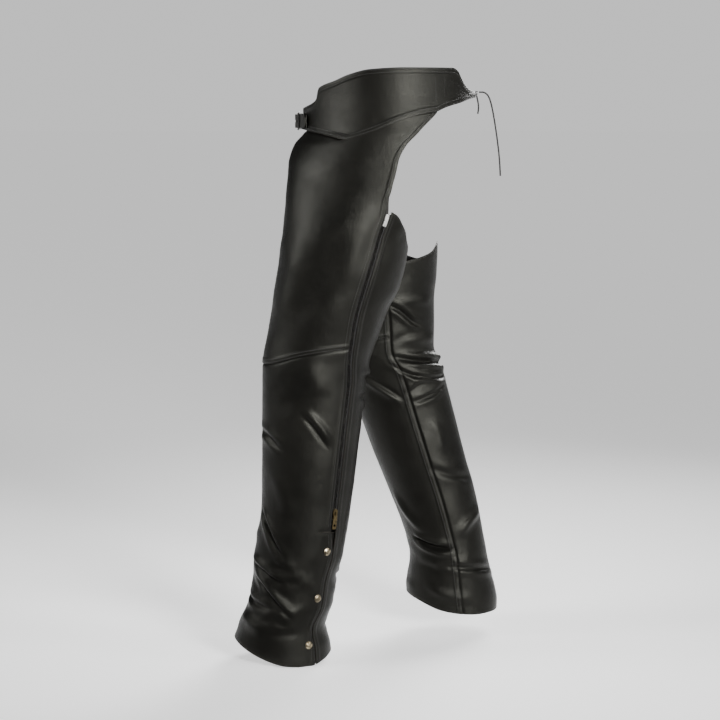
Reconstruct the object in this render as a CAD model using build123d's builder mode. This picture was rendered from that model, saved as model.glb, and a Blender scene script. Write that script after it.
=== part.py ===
from build123d import *
import math
import os

os.makedirs("parts", exist_ok=True)

# Leather riding chaps in a walking stride. Millimetres, +Z up, the wearer faces -Y.
# The origin is the centre of the waist at belt height. The left leg is at +X, the right at -X.

# Body shape, one row a level: height, centre across, half width, then centre fore and aft and
# half depth of the left leg, the same of the right leg, and the angles of the left and right
# outer opening lines. Angles run round each leg from its outer side (0) to the back (90); the
# front is -90.
body_levels = [
    (98, 0, 170, 4, 152, 4, 152, 40, 40),
    (50, 0, 173, 4, 154, 4, 154, 40, 40),
    (20, 2, 175, 4, 154, 4, 154, 33, 33),
    (-15, 6, 176, 3, 154, 3, 154, 20, 20),
    (-40, 34, 150, -5, 159, -4, 158, 13.5, 13.5),
    (-65, 56, 131, -11, 160, -6, 158, 11, 10),
    (-100, 78, 112, -20, 155, -8, 153, 11.5, 8.5),
    (-130, 91, 103, -37, 141, -14, 144, 17, 10),
    (-160, 99, 98, -54, 126, -22, 133, 25.5, 13),
    (-206, 104, 95, -72, 113, -25, 123, 30, 15.5),
    (-250, 104, 94, -79, 112, -22, 118.5, 27, 20),
    (-290, 104, 90, -88, 110, -19, 114, 25.5, 25),
    (-333, 104, 86, -102, 102, -14, 105, 29, 29),
    (-375, 104, 81.5, -113, 98, -10, 102, 33, 33),
    (-418, 104, 78.5, -124, 94.5, -7, 98, 39, 39),
    (-461, 104, 76, -128, 91.5, 13, 94, 43, 43),
    (-547, 104, 72.4, -134, 87, 41, 89, 42, 42),
    (-634, 104, 68.8, -140, 82.5, 69, 84, 41, 41),
    (-690, 104, 66.5, -144, 79.5, 88, 80.5, 40.5, 40.5),
    (-765, 104, 66.5, -156, 79.5, 110, 75, 48, 48),
    (-809, 104, 67, -164, 74, 120, 73, 48, 48),
    (-853, 104, 68, -171, 76, 124, 79, 46.5, 47.5),
    (-897, 104, 69.5, -187, 79, 128, 86, 44, 46),
    (-930, 104, 71, -188.5, 88, 134, 80, 44.5, 44.5),
    (-970, 104, 72, -187, 90, 139, 78, 43, 43),
]
leg_centre = 104
sides = {"left": 1, "right": -1}

leather = 2.0
lining = 0.6
lining_depth = 4
seam_gap = 1.2
inseam_angle = 170
inseam_gap = 0.4
curve_points = 11
closest_level = 8
lining_inset = 5
yoke_front_x = 32
yoke_tip_x = 14

# The zip
zip_groove = 5.8
zip_tops = {"left": -157, "right": -254}
zip_bottom = -696
zip_straight_top = -461
edge_above_zip = 26
chain_inner = 0.8
chain_outer = 3.2
chain_top = 0.5
chain_bottom = 2.9
tape_edge = 12
guard_edge = 22
guard_depth = 6.2
end_box_length = 21
stop_length = 4
stop_rise = 1
slider_length = 12
slider_half_width = 4.4
slider_rise = 13
plate_spacing = slider_length - 2 * slider_half_width + 3
plate = 1.2
pull_length = 29
pull_width = 8
pull_bar = 0.6
pull_height = 2.55

# The ankle closure
flap_top = -716
hinge_angle = 19
flap_raise = 0.6
flap_thickness = 1.8
underlap_depth = 4.0
underlap_thickness = 1.4
underlap_reach = 18
snap_hole = 1.7
hinge_gap = 1.2
snap_levels = {"left": [-752, -836, -920], "right": [-752, -820, -884]}
snap_inset = 11.5
cap_radius = 7
cap_height = 2.4

# The belt at the front
belt_half_width = 12
belt_centre = 3
belt_across = 183
belt_deep = 157.2
bar_x = 12
bar_height = 3.6
bar_radius = 1.5
wire_radius = 1.6
frame_reach = 26
frame_half_height = 14.5
rivet_places = [(66, 6), (66, -6)]
rivet_hole = 1.6
rivet_head_radius = 4.4
strap_thickness = 1.4
billet_thickness = 1.6
billet_slot_x = 8.5
billet_slot_length = 22
billet_hole = 2
keeper_x = 44
keeper_width = 8
prong_half = 1.4

# The lace at the back
lace_diameter = 3.0
eyelet_x = 24
eyelet_z = 46.5
eyelet_hole = 2.6
knot_centre = (0, 161, 49.5)
knot_radius = 4.6
lace_long = [
    (0, 165.9, 51), (1, 171.8, 51.6), (1.5, 177.7, 49.7), (2, 183.4, 43.4), (2.5, 187.8, 30.2),
    (3, 192, 10.5), (3, 196.5, -16), (2, 200.8, -45), (1, 204, -73), (0, 205.3, -98),
]
lace_short = [
    (0, 161.6, 44.6), (-0.6, 163.4, 37.4), (-0.9, 165, 29.2), (-0.7, 165.3, 20.8), (0, 163.9, 12.7),
]


def save(part, name):
    part.label = name
    export_step(part, f"parts/{name}.step")


def level(side, z):
    """Centre, half width, centre fore and aft, half depth and opening angle at one height."""
    for upper, lower in zip(body_levels, body_levels[1:]):
        if lower[0] <= z <= upper[0]:
            share = (upper[0] - z) / (upper[0] - lower[0])
            row = [a + (b - a) * share for a, b in zip(upper, lower)]
            if side == "left":
                return row[1], row[2], row[3], row[4], row[7]
            return row[1], row[2], row[5], row[6], row[8]
    raise ValueError(f"no level at {z}")


def surface(side, z, angle, depth=0.0):
    """A point on one side's outer surface, or a depth below it."""
    across, half_width, fore_aft, half_depth = level(side, z)[:4]
    turn = math.radians(angle)
    x = across + (half_width - depth) * math.cos(turn)
    y = fore_aft + (half_depth - depth) * math.sin(turn)
    return Vector(sides[side] * x, y, z)


def degrees_for(side, z, angle, distance):
    """How many degrees a distance along the surface takes at an angle."""
    step = (surface(side, z, angle + 1) - surface(side, z, angle - 1)).length / 2
    return distance / step


def opening_angle(side, z, distance=0.0):
    """The angle that lies a distance behind the opening line."""
    angle = level(side, z)[4]
    return angle + degrees_for(side, z, angle, distance)


def half_groove(z):
    """Half the width left open between the leather edges at the outer line."""
    if z >= flap_top:
        return zip_groove
    share = min(1, (flap_top - z) / 34)
    return zip_groove + (hinge_gap / 2 - zip_groove) * share


def angle_at(side, z, x):
    """The front angle at which one side's surface stands at a distance across."""
    across, half_width = level(side, z)[:2]
    return -math.degrees(math.acos(max(-1, min(1, (x - across) / half_width))))


def band(side, z, start, end, outer, inner):
    """The cross-section of a curved sheet between two angles and two depths."""
    turns = [start + (end - start) * i / (curve_points - 1) for i in range(curve_points)]
    outside = [(p.X, p.Y) for p in (surface(side, z, turn, outer) for turn in turns)]
    inside = [(p.X, p.Y) for p in (surface(side, z, turn, inner) for turn in reversed(turns))]
    with BuildSketch(Plane.XY.offset(z)) as section:
        with BuildLine():
            Spline(*outside)
            Line(outside[-1], inside[0])
            Spline(*inside)
            Line(inside[-1], outside[0])
        make_face()
    return section.sketch


def heights(top, bottom):
    """The listed levels between two heights, with the two themselves."""
    inner = [row[0] for row in body_levels if bottom + closest_level < row[0] < top - closest_level]
    return [top] + inner + [bottom]


def region(plane, curves, closing, reach=500):
    """A prism seen from the side or front, bounded by curves and closed by straight lines."""
    with BuildPart() as prism:
        with BuildSketch(plane):
            with BuildLine():
                for curve in curves:
                    Spline(*curve) if len(curve) > 2 else Line(*curve)
                Polyline(curves[-1][-1], *closing, curves[0][0])
            make_face()
        extrude(amount=reach, both=True)
    return prism.part


def moved(points, up):
    return [(place, height + up) for place, height in points]


# ---- outlines ----
# Side view, as (Y, Z): the V-shaped seam under the yoke.
seam_front = [(-190, -9), (-147, -15), (-116, -21), (-73, -31)]
seam_rear = [(-73, -31), (-30, -18), (21, 2), (55, 12), (85, 17), (125, 21)]
# Side view: the top edge of the yoke and the lower edge of its pointed back.
yoke_top = [
    [(-190, 18), (-158, 20), (-140, 27), (-123, 38)],
    [(-123, 38), (-119, 58)],
    [(-119, 58), (-90, 71), (-64, 82), (-30, 90), (30, 93), (112, 93), (122, 88)],
    [(122, 88), (129, 75), (136, 63), (147, 54.5), (156, 52), (175, 51.5)],
]
yoke_under = [(175, 41.5), (156, 41), (145, 38.5), (127, 32), (103, 25), (85, 17)]
# Front view, as (X, Z): the inner edge of the front panel and the top edge of the back panel.
front_edge = [(66, -8), (56, -50), (46, -90), (36, -135), (27, -180), (19, -220), (12, -250), (2, -262)]
back_edges = {
    "left": [(215, -119), (190, -148), (180, -159), (169, -174), (149, -192), (131, -208),
             (104, -223), (60, -240), (25, -252), (2, -262)],
    "right": [(215, -240), (192, -249), (175, -258), (160, -261), (145, -255), (129, -239),
              (104, -223), (60, -240), (25, -252), (2, -262)],
}
# Side view: the knee seam and the hems.
knee_seam = {
    "left": [(-260, -427), (-215, -422), (-151, -403), (-99, -394), (-30, -388)],
    "right": [(-140, -427), (-100, -422), (-40, -403), (10, -394), (70, -388)],
}
hems = {
    "left": [(-310, -893), (-276, -916), (-243, -934), (-206, -949), (-180, -956), (-153, -958.5),
             (-132, -958.5), (-111, -952), (-95, -941), (-70, -918)],
    "right": [(10, -872), (42, -887), (66, -896), (103, -910), (139, -916), (178, -919),
              (216, -919), (250, -916)],
}

above_seam = region(Plane.YZ, [moved(seam_front, -seam_gap / 2), moved(seam_rear, -seam_gap / 2)],
                    [(125, 150), (-190, 150)])
above_seam_lining = region(Plane.YZ, [moved(seam_front, -4), moved(seam_rear, -4)],
                           [(125, 150), (-190, 150)])
yoke_shape = region(Plane.YZ, yoke_top + [[(175, 51.5), (175, 41.5)], yoke_under,
                                          list(reversed(seam_rear[:5])), list(reversed(seam_front))],
                    [])
below_back_edge = {}
inside_front_edge = {}
for side, sign in sides.items():
    mirrored_front = [(sign * x, z) for x, z in front_edge]
    mirrored_back = [(sign * x, z) for x, z in back_edges[side]]
    inside_front_edge[side] = region(Plane.XZ, [mirrored_front], [(-sign * 90, -262), (-sign * 90, 40),
                                                                  (sign * 66, 40)])
    below_back_edge[side] = region(Plane.XZ, [mirrored_back], [(-sign * 90, -262), (-sign * 90, -60),
                                                               (sign * 215, -60)])
below_knee = {}
above_knee = {}
below_hem = {}
for side in sides:
    below_knee[side] = region(Plane.YZ, [moved(knee_seam[side], seam_gap / 2)],
                              [(knee_seam[side][-1][0], -600), (knee_seam[side][0][0], -600)])
    above_knee[side] = region(Plane.YZ, [moved(knee_seam[side], -seam_gap / 2)],
                              [(knee_seam[side][-1][0], -300), (knee_seam[side][0][0], -300)])
    hem = hems[side]
    below_hem[side] = region(Plane.YZ, [hem], [(hem[-1][0], -1050), (hem[0][0], -1050)])


def dome(radius, base, rise):
    """An arc from a rim to the top of a dome, centred on the axis."""
    ball = (radius ** 2 + rise ** 2) / (2 * rise)
    half_way = radius / 2
    height = base + rise - ball + math.sqrt(ball ** 2 - half_way ** 2)
    return ThreePointArc((radius, base), (half_way, height), (0, base + rise))


def hinge_point(side, z):
    return surface(side, z, hinge_angle, -flap_raise)


def flap_area(side, shift, top):
    """Everything outside the leg's middle, behind the flap's hinge line and below its top."""
    upper = hinge_point(side, flap_top)
    lower = hinge_point(side, body_levels[-1][0])
    with BuildPart() as area:
        with BuildSketch(Plane.YZ.offset(sides[side] * leg_centre)):
            with BuildLine():
                slope = (lower.Y - upper.Y) / (lower.Z - upper.Z)
                Polyline((upper.Y + slope * (top - upper.Z) + shift, top), (lower.Y + shift, lower.Z),
                         (400, lower.Z), (400, top), close=True)
            make_face()
        extrude(amount=sides[side] * 200)
    return area.part


# ---- waist ----
def belt_point(x, rise):
    """A point of the belt line at a distance across and a height above the line."""
    turn = math.asin(x / belt_across)
    return Vector((belt_across + rise) * math.sin(turn), belt_centre - (belt_deep + rise) * math.cos(turn), 0)


def belt_plane(x, z, rise=0.0):
    """A plane on the belt line, facing outwards."""
    place = belt_point(x, rise)
    outward = (belt_point(x, rise + 1) - place).normalized()
    return Plane(origin=(place.X, place.Y, z), x_dir=(0, 0, 1), z_dir=outward)


def eyelet_plane(side, depth=0.0):
    back = math.degrees(math.acos((eyelet_x - level(side, eyelet_z)[0]) / level(side, eyelet_z)[1]))
    place = surface(side, eyelet_z, back, depth)
    outward = (surface(side, eyelet_z, back, -1) - surface(side, eyelet_z, back)).normalized()
    return Plane(origin=place, x_dir=(0, 0, 1), z_dir=outward)


for side, sign in sides.items():
    with BuildPart() as yoke:
        sections = []
        for z in heights(98, -40):
            tip = -angle_at(side, z, yoke_tip_x)
            sections.append(band(side, z, angle_at(side, z, yoke_front_x), tip, 0, leather))
        loft(sections=sections, ruled=True)
        add(yoke_shape, mode=Mode.INTERSECT)
        for x, z in rivet_places:
            with BuildSketch(belt_plane(sign * x, z)):
                Circle(rivet_hole)
            extrude(amount=15, both=True, mode=Mode.SUBTRACT)
        with BuildSketch(eyelet_plane(side)):
            Circle(eyelet_hole)
        extrude(amount=8, both=True, mode=Mode.SUBTRACT)
    save(yoke.part, f"yoke_{side}")

    with BuildPart() as yoke_lining:
        sections = []
        for z in heights(98, -40):
            end = -angle_at(side, z, 60)
            sections.append(band(side, z, angle_at(side, z, 88), end, lining_depth, lining_depth + lining))
        loft(sections=sections, ruled=True)
        add(yoke_shape.moved(Location((0, 0, -lining_inset))), mode=Mode.INTERSECT)
        add(yoke_shape.moved(Location((0, 0, lining_inset))), mode=Mode.INTERSECT)
    save(yoke_lining.part, f"yoke_lining_{side}")

# ---- leg panels ----
def front_start(side, z, margin):
    """Where the front panel's cross-section starts: the inseam, or past the inner edge."""
    x = front_edge[0][0] - margin
    for upper, lower in zip(front_edge, front_edge[1:]):
        if lower[1] <= z <= upper[1]:
            share = (upper[1] - z) / (upper[1] - lower[1])
            x = upper[0] + (lower[0] - upper[0]) * share - margin
    angle = -180 if z < front_edge[-1][1] else angle_at(side, z, x)
    return inseam_angle - 360 if angle < -175 else angle


for side, sign in sides.items():
    with BuildPart() as thigh_panel:
        sections = []
        for z in heights(24, -440):
            start = front_start(side, z, 12) + inseam_gap
            end = opening_angle(side, z, -zip_groove if z < zip_tops[side] + edge_above_zip else 0)
            sections.append(band(side, z, start, end, 0, leather))
        loft(sections=sections, ruled=True)
        for cutter in (above_seam, inside_front_edge[side], below_knee[side]):
            add(cutter, mode=Mode.SUBTRACT)
    save(thigh_panel.part, f"thigh_panel_{side}")

    with BuildPart() as thigh_lining:
        sections = []
        for z in heights(10, -384):
            start = front_start(side, z, 12) + 3
            end = opening_angle(side, z, -26)
            sections.append(band(side, z, start, end, lining_depth, lining_depth + lining))
        loft(sections=sections, ruled=True)
        for cutter in (above_seam_lining, inside_front_edge[side].moved(Location((sign * 6, 0, 0)))):
            add(cutter, mode=Mode.SUBTRACT)
    save(thigh_lining.part, f"thigh_lining_{side}")

    with BuildPart() as shin_panel:
        sections = []
        for z in heights(-380, -970):
            end = opening_angle(side, z, -half_groove(z))
            sections.append(band(side, z, inseam_angle - 360 + inseam_gap, end, 0, leather))
        loft(sections=sections, ruled=True)
        for cutter in (above_knee[side], below_hem[side], flap_area(side, 0, flap_top + 0.6)):
            add(cutter, mode=Mode.SUBTRACT)
    save(shin_panel.part, f"shin_panel_{side}")

    with BuildPart() as back_panel:
        sections = []
        for z in heights(-138, -970):
            start = opening_angle(side, z, half_groove(z))
            sections.append(band(side, z, start, inseam_angle - inseam_gap, 0, leather))
        loft(sections=sections, ruled=True)
        for cutter in (below_back_edge[side], below_hem[side]):
            add(cutter, mode=Mode.SUBTRACT)
    save(back_panel.part, f"back_panel_{side}")

# ---- ankle closure ----
def skin_plane(side, z, angle, depth=0.0):
    """A plane on the leg's surface, with x across, y along the leg and z outwards."""
    place = surface(side, z, angle, depth)
    across = surface(side, z, angle + 1) - surface(side, z, angle - 1)
    along = surface(side, z + 5, angle) - surface(side, z - 5, angle)
    outward = across.cross(along) * sides[side]
    return Plane(origin=place, x_dir=across, z_dir=outward)


for side in sides:
    snap_planes = []
    for z in snap_levels[side]:
        snap_planes.append(skin_plane(side, z, opening_angle(side, z, -snap_inset)))

    with BuildPart() as ankle_flap:
        sections = []
        for z in heights(-690, -970):
            end = opening_angle(side, z, -hinge_gap / 2)
            sections.append(band(side, z, hinge_angle - 12, end, -flap_raise, flap_thickness - flap_raise))
        loft(sections=sections, ruled=True)
        add(flap_area(side, hinge_gap, flap_top), mode=Mode.INTERSECT)
        add(below_hem[side], mode=Mode.SUBTRACT)
        for plane in snap_planes:
            with BuildSketch(plane):
                Circle(snap_hole)
            extrude(amount=6, both=True, mode=Mode.SUBTRACT)
    save(ankle_flap.part, f"ankle_flap_{side}")

    with BuildPart() as underlap:
        sections = []
        for z in heights(flap_top - 3, -970):
            start = hinge_angle + 4
            end = opening_angle(side, z, underlap_reach)
            sections.append(band(side, z, start, end, underlap_depth, underlap_depth + underlap_thickness))
        loft(sections=sections, ruled=True)
        add(below_hem[side].moved(Location((0, 0, 5))), mode=Mode.SUBTRACT)
    save(underlap.part, f"ankle_underlap_{side}")

    with BuildPart() as snap_caps:
        for plane in snap_planes:
            with BuildSketch(Plane(origin=plane.origin, x_dir=plane.x_dir, z_dir=-plane.y_dir)):
                with BuildLine():
                    Polyline((0, -2.1), (2.2, -2.1), (2.2, -2.9), (4.4, -2.9), (4.4, -1.7), (1.5, -1.7),
                             (1.5, 0.9), (cap_radius, 0.9), (cap_radius, 1.3))
                    dome(cap_radius, 1.3, cap_height)
                    Line((0, 1.3 + cap_height), (0, -2.1))
                make_face()
            revolve(axis=Axis(plane.origin, plane.z_dir))
    save(snap_caps.part, f"snap_caps_{side}")

    with BuildPart() as snap_studs:
        for plane in snap_planes:
            with BuildSketch(Plane(origin=plane.origin, x_dir=plane.x_dir, z_dir=-plane.y_dir)):
                with BuildLine():
                    Polyline((0, -3.85), (4, -3.85), (4, -3.35), (1.5, -3.35), (1.5, -2.8), (1.75, -2.6),
                             (1.4, -2.35), (0, -2.35), close=True)
                make_face()
            revolve(axis=Axis(plane.origin, plane.z_dir))
    save(snap_studs.part, f"snap_studs_{side}")


# ---- zips ----
def zip_planes(side, first_drop, last_rise):
    """Cross-section planes down the zip: x towards the back, y into the leg."""
    top = zip_tops[side]
    stops = [top] + [row[0] for row in body_levels if zip_straight_top <= row[0] < top - closest_level]
    places = [surface(side, z, level(side, z)[4]) for z in stops + [zip_bottom]]
    across = []
    for z in stops + [zip_bottom]:
        angle = level(side, z)[4]
        across.append((surface(side, z, angle + 1) - surface(side, z, angle - 1)).normalized())
    straight_across = (across[-2] + across[-1]).normalized()
    places[0] = places[0] + (places[1] - places[0]).normalized() * first_drop
    places[-1] = places[-1] + (places[-2] - places[-1]).normalized() * last_rise
    planes = []
    for i, place in enumerate(places):
        before = places[max(i - 1, 0)]
        after = places[min(i + 1, len(places) - 1)]
        upward = (before - after).normalized()
        sideways = across[i]
        if i >= len(places) - 2:
            upward = (places[-2] - places[-1]).normalized()
            sideways = straight_across
        planes.append(Plane(origin=place, x_dir=sideways, z_dir=upward * sides[side]))
    return planes


def strip(planes, corners):
    """A strip with one cross-section all the way down the zip."""
    sections = []
    for plane in planes:
        with BuildSketch(plane) as section:
            with BuildLine():
                Polyline(*corners, close=True)
            make_face()
        sections.append(section.sketch)
    return sections


slider_places = {}
for side, sign in sides.items():
    chain_planes = zip_planes(side, end_box_length + 1, stop_rise + stop_length + 1)
    tape_planes = zip_planes(side, 0, 0)
    for row, way in (("front", -1), ("back", 1)):
        with BuildPart() as chain:
            corners = [(way * chain_inner, chain_top), (way * chain_outer, chain_top),
                       (way * chain_outer, chain_bottom), (way * chain_inner, chain_bottom)]
            loft(sections=strip(chain_planes, corners), ruled=True)
        save(chain.part, f"zip_chain_{row}_{side}")

        with BuildPart() as tape:
            corners = [(way * 3.5, 2.5), (way * tape_edge, 3.7), (way * tape_edge, 4.3), (way * 3.5, 3.1)]
            loft(sections=strip(tape_planes, corners), ruled=True)
        save(tape.part, f"zip_tape_{row}_{side}")

    with BuildPart() as guard:
        sag = 3.4
        corners = [(0, guard_depth), (guard_edge, guard_depth + sag), (guard_edge, guard_depth + sag + 1.2),
                   (0, guard_depth + 1.2), (-guard_edge, guard_depth + sag + 1.2),
                   (-guard_edge, guard_depth + sag)]
        loft(sections=strip(zip_planes(side, -4, 2), corners), ruled=True)
    save(guard.part, f"zip_guard_{side}")

    top_plane = zip_planes(side, 0, 0)[0]
    with BuildPart() as end_box:
        with BuildSketch(top_plane):
            with Locations((0, 0.7)):
                Rectangle(6.4, 3)
        extrude(amount=-sign * end_box_length)
        fillet(end_box.edges().filter_by(GeomType.LINE).group_by(Axis.Z)[-1], radius=0.8)
    save(end_box.part, f"zip_end_box_{side}")

    foot = zip_planes(side, 0, 0)[-1]
    upward = foot.z_dir * sign
    inward = foot.y_dir

    def on_zip(rise, height=0.0):
        """A plane across the zip at a distance above its lower end."""
        return Plane(origin=foot.origin + upward * rise - inward * height, x_dir=foot.x_dir, z_dir=upward)

    with BuildPart() as bottom_stop:
        with BuildSketch(on_zip(stop_rise)):
            with Locations((0, sign * 1.7)):
                Rectangle(6.6, 2.8)
        extrude(amount=stop_length)
    save(bottom_stop.part, f"zip_stop_{side}")

    seat = on_zip(slider_rise).origin
    crown = Plane(origin=seat - inward * 1.5, x_dir=foot.x_dir, z_dir=-inward)
    with BuildPart() as slider:
        for height, facing in ((-0.3, -inward), (3.6, inward)):
            with BuildSketch(Plane(origin=seat + inward * height, x_dir=foot.x_dir, z_dir=facing)):
                SlotCenterToCenter(plate_spacing, 2 * slider_half_width, rotation=90)
            extrude(amount=plate)
        nose = on_zip(slider_rise - 3.5, 0.3).origin
        with BuildSketch(Plane(origin=nose, x_dir=foot.x_dir, z_dir=inward)):
            Rectangle(0.9, 4)
        extrude(amount=3.9)
        with BuildSketch(crown):
            Rectangle(1.2, 6.4)
        extrude(amount=3.2)
        with BuildSketch(crown):
            Rectangle(1.6, 3.4)
        extrude(amount=2.1, mode=Mode.SUBTRACT)
    save(slider.part, f"zip_slider_{side}")

    hinge = seat - inward * pull_height
    slider_places[side] = (hinge, foot.x_dir, upward)
    with BuildPart() as pull:
        pull_plane = Plane(origin=hinge - inward * pull_bar, x_dir=foot.x_dir, z_dir=inward)
        down = -1 if pull_plane.y_dir.dot(upward) > 0 else 1
        with BuildSketch(pull_plane):
            with Locations((0, down * (pull_length + 4.4) / 2)):
                Rectangle(pull_width, pull_length - 4.4)
            with Locations((0, down * (pull_length - 7))):
                Circle(2.2, mode=Mode.SUBTRACT)
            for way in (-1, 1):
                with Locations((way * 2.0, down * 2.6)):
                    Rectangle(1.5, 5.2)
        extrude(amount=2 * pull_bar)
        with BuildSketch(Plane(origin=hinge, x_dir=upward, z_dir=foot.x_dir)):
            Circle(pull_bar)
        extrude(amount=2.7, both=True)
        fillet(pull.edges().filter_by(Axis(hinge, inward)).sort_by(Axis(hinge, upward))[:2], radius=2.6)
    save(pull.part, f"zip_pull_{side}")

# ---- belt and buckle ----
def ribbon(route, thickness, half_width):
    """A strap that follows a route in plan."""
    centre = Edge.make_spline([Vector(*point) for point in route])
    samples = 30
    one = []
    other = []
    for i in range(samples + 1):
        place = centre @ (i / samples)
        ahead = centre % (i / samples)
        across = Vector(-ahead.Y, ahead.X) * (thickness / 2)
        one.append((place.X + across.X, place.Y + across.Y))
        other.append((place.X - across.X, place.Y - across.Y))
    with BuildSketch(Plane.XY.offset(-half_width)) as section:
        with BuildLine():
            Spline(*one)
            Line(one[-1], other[-1])
            Spline(*reversed(other))
            Line(other[0], one[0])
        make_face()
    return section.sketch


def plan(stops):
    """Belt line stops, as distance across and height above the line, to points in plan."""
    return [(belt_point(x, rise).X, belt_point(x, rise).Y, 0) for x, rise in stops]


bar = belt_point(bar_x, bar_height)
loop_radius = bar_radius + 0.4 + strap_thickness / 2
under = plan([(76, 1.1), (60, 1.1), (44, 1.1), (28, 1.0)])
turn_back = []
for turn in (75, 110, 145, 180, 215, 250, 285):
    turn_back.append((bar.X + loop_radius * math.cos(math.radians(turn)),
                      bar.Y + loop_radius * math.sin(math.radians(turn)), 0))
over = plan([(20, 4.6), (30, 3.1), (42, 2.75), (56, 2.75)])

with BuildPart() as buckle_strap:
    extrude(ribbon(under + turn_back + over, strap_thickness, belt_half_width), amount=2 * belt_half_width)
    with BuildSketch(Plane.XZ.offset(-belt_centre)):
        with Locations((bar_x - 1.5, 0)):
            Rectangle(15, 5)
    extrude(amount=200, mode=Mode.SUBTRACT)
    for x, z in rivet_places:
        with BuildSketch(belt_plane(x, z)):
            Circle(rivet_hole)
        extrude(amount=12, both=True, mode=Mode.SUBTRACT)
save(buckle_strap.part, "buckle_strap")

billet_route = plan([(-76, 1.2), (-56, 1.2), (-34, 1.2), (-14, 0.9), (-3, 1.3), (3, 4.2), (8, 7.6),
                     (14, 8.3), (21, 7.4), (31, 5.3), (43, 4.6), (58, 4.5), (78, 4.2)])
with BuildPart() as billet_strap:
    extrude(ribbon(billet_route, billet_thickness, belt_half_width), amount=2 * belt_half_width)
    with BuildSketch(Plane.XZ.offset(-belt_centre)):
        with Locations((billet_slot_x, 0)):
            SlotOverall(billet_slot_length, 4)
        for x in (-24, -40, 32, 48):
            with Locations((x, 0)):
                Circle(billet_hole)
    extrude(amount=200, mode=Mode.SUBTRACT)
    for x, z in rivet_places:
        with BuildSketch(belt_plane(-x, z)):
            Circle(rivet_hole)
        extrude(amount=12, both=True, mode=Mode.SUBTRACT)
    tip = billet_strap.edges().filter_by(lambda edge: edge.length < 2).sort_by(Axis.X)[-2:]
    fillet(tip, radius=8)
save(billet_strap.part, "billet_strap")

with BuildPart() as keeper:
    keeper_plane = belt_plane(keeper_x, 0)
    side_plane = Plane(origin=keeper_plane.origin, x_dir=(0, 0, 1), z_dir=keeper_plane.y_dir)
    with BuildSketch(side_plane.offset(-keeper_width / 2)):
        with Locations((0, -2.9)):
            RectangleRounded(2 * belt_half_width + 3.4, 8.2, 1.2)
            RectangleRounded(2 * belt_half_width + 1.4, 6.2, 0.6, mode=Mode.SUBTRACT)
    extrude(amount=keeper_width)
save(keeper.part, "strap_keeper")

frame_plane = Plane(origin=(bar.X, bar.Y, 0), x_dir=(1, 0, 0), z_dir=(0, -1, 0))
with BuildPart() as buckle_frame:
    with BuildLine(frame_plane):
        FilletPolyline((0, frame_half_height), (-frame_reach, frame_half_height),
                       (-frame_reach, -frame_half_height), (0, -frame_half_height), radius=4)
    with BuildSketch(Plane(origin=(bar.X, bar.Y, frame_half_height), z_dir=(-1, 0, 0))):
        Circle(wire_radius)
    sweep()
    with BuildSketch(Plane.XY.offset(-frame_half_height - wire_radius)):
        with Locations((bar.X, bar.Y)):
            Circle(bar_radius)
    extrude(amount=2 * (frame_half_height + wire_radius))
    for z in (-frame_half_height, frame_half_height):
        with Locations((bar.X, bar.Y, z)):
            Sphere(wire_radius + 0.5)
save(buckle_frame.part, "buckle_frame")

with BuildPart() as prong:
    with BuildSketch(Plane.XY.offset(-prong_half)):
        with BuildLine():
            Polyline((bar.X - 1.2, bar.Y - 1.6), (bar.X - frame_reach - 2.6, bar.Y - 2.1),
                     (bar.X - frame_reach - 2.6, bar.Y - 3.4), (bar.X - frame_reach, bar.Y - 4.2),
                     (bar.X, bar.Y - 3.4), close=True)
        make_face()
        with Locations((bar.X, bar.Y)):
            Circle(3.4)
            Circle(bar_radius + 0.08, mode=Mode.SUBTRACT)
    extrude(amount=2 * prong_half)
save(prong.part, "buckle_prong")

with BuildPart() as rivets:
    for way in (-1, 1):
        for x, z in rivet_places:
            plane = belt_plane(way * x, z)
            top = 2.35 if way < 0 else 2.15
            with BuildSketch(Plane(origin=plane.origin, x_dir=plane.x_dir, z_dir=-plane.y_dir)):
                with BuildLine():
                    Polyline((0, -7.2), (4, -7.2), (4, -6.2), (1.4, -6.2), (1.4, top),
                             (rivet_head_radius, top))
                    dome(rivet_head_radius, top, 1.5)
                    Line((0, top + 1.5), (0, -7.2))
                make_face()
            revolve(axis=Axis(plane.origin, plane.z_dir))
save(rivets.part, "belt_rivets")

# ---- lace at the back ----
with BuildPart() as eyelets:
    for side in sides:
        plane = eyelet_plane(side)
        with BuildSketch(plane.offset(-leather - 0.6)):
            Circle(2.5)
            Circle(2.0, mode=Mode.SUBTRACT)
        extrude(amount=leather + 1.2)
        for depth in (-leather - 0.75, 0.1):
            with BuildSketch(plane.offset(depth)):
                Circle(4.1)
                Circle(2.0, mode=Mode.SUBTRACT)
            extrude(amount=0.6)
save(eyelets.part, "back_eyelets")


def corner_radii(route):
    """The largest even arc at each corner of a route."""
    points = [Vector(*point) for point in route]
    radii = []
    for before, corner, after in zip(points, points[1:], points[2:]):
        shorter = min((corner - before).length, (after - corner).length)
        turn = (corner - before).get_angle(after - corner)
        radii.append(0.45 * shorter / math.tan(math.radians(turn / 2)))
    return radii


def cord(route, name, radii=None):
    radii = radii or corner_radii(route)
    with BuildPart() as tube:
        with BuildLine() as path:
            FilletPolyline(*route, radius=radii)
        start = path.line @ 0
        with BuildSketch(Plane(origin=start, z_dir=path.line % 0)):
            Circle(lace_diameter / 2)
        sweep()
    length = sum(edge.length for edge in path.edges())
    expected = math.pi * (lace_diameter / 2) ** 2 * length
    print(name, "length", round(length, 1), "radii", [round(r, 1) for r in radii],
          "volume ratio", round(tube.part.volume / expected, 4))
    return tube.part


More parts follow.
